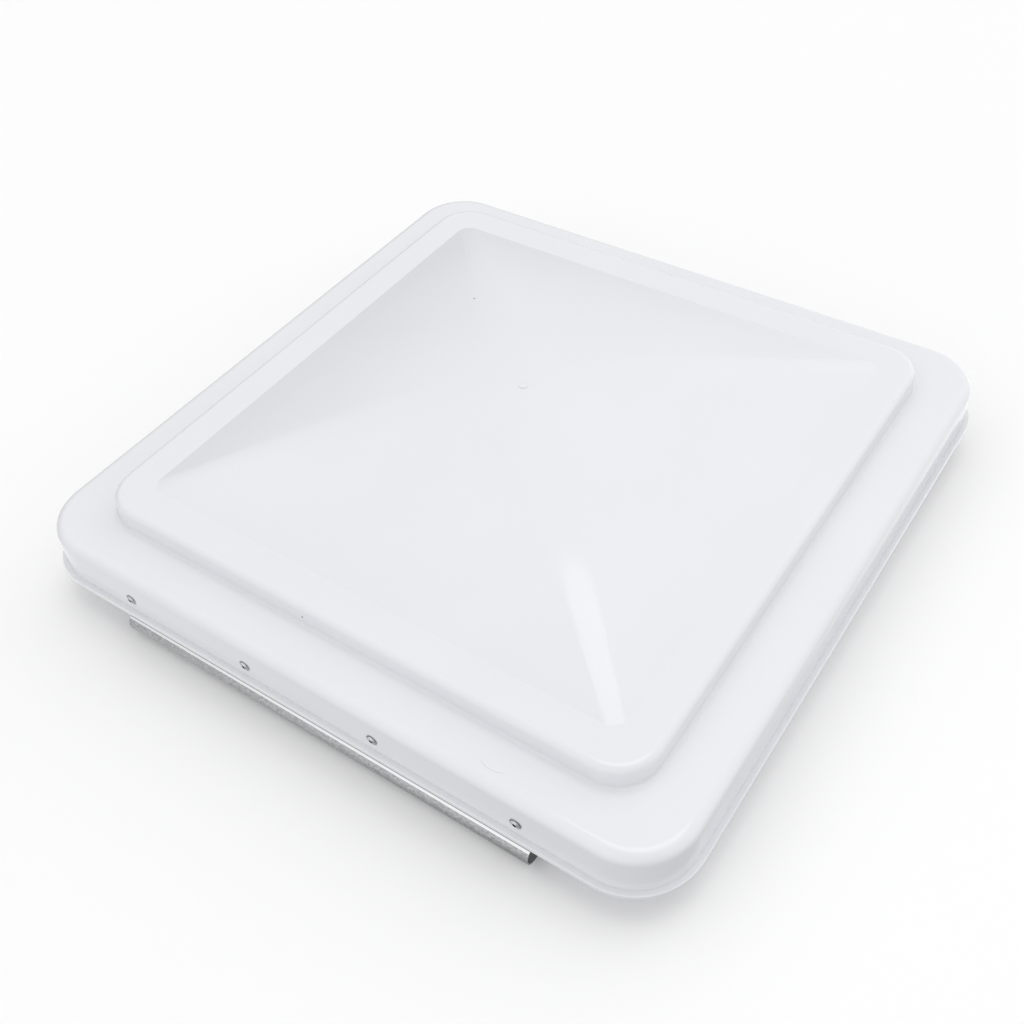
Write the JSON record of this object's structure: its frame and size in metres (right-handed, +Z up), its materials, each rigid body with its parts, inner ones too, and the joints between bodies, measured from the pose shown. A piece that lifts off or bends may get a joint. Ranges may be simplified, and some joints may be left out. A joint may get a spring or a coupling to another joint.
{
  "type": "roof vent cover",
  "caption": "Square white moulded lid with a stepped rim and a shallow pyramid dome, riveted to a curled steel hinge on one side; it swings up from a closed stop.",
  "frame": {"origin": "under the middle of the lid, level with the lowest point of the hinge curl", "axes": "+Z up out of the roof, X along the hinge, which is on the -Y side; +Y from the hinge to the free edge"},
  "size_m": [0.403, 0.4, 0.0903],
  "materials": {
    "lid_plastic": "satin moulded white polypropylene",
    "hinge_steel": "galvanised strip with fine streaks along its length",
    "track_steel": "galvanised sheet",
    "rail_plastic": "black extruded plastic",
    "rivet_aluminium": "bright blind rivets",
    "mandrel_steel": "dull snapped steel pins",
    "screw_steel": "zinc plated"
  },
  "bodies": {
    "rail": {"hinge_rail": "rail_plastic"},
    "cover": {"lid_shell": "lid_plastic", "hinge_strip": "hinge_steel", "lift_track": "track_steel", "hinge_rivet_1": "rivet_aluminium", "hinge_rivet_2": "rivet_aluminium", "hinge_rivet_3": "rivet_aluminium", "hinge_rivet_4": "rivet_aluminium", "rivet_mandrel_1": "mandrel_steel", "rivet_mandrel_2": "mandrel_steel", "rivet_mandrel_3": "mandrel_steel", "rivet_mandrel_4": "mandrel_steel", "track_screw_1": "screw_steel", "track_screw_2": "screw_steel", "track_screw_3": "screw_steel", "track_screw_4": "screw_steel"}
  },
  "joints": [
    {"name": "cover_hinge", "type": "hinge", "parent": "rail", "child": "cover", "pos_m": [0, -0.1925, 0.0075], "axis": [1, 0, 0], "range_deg": [0, 80]}
  ]
}
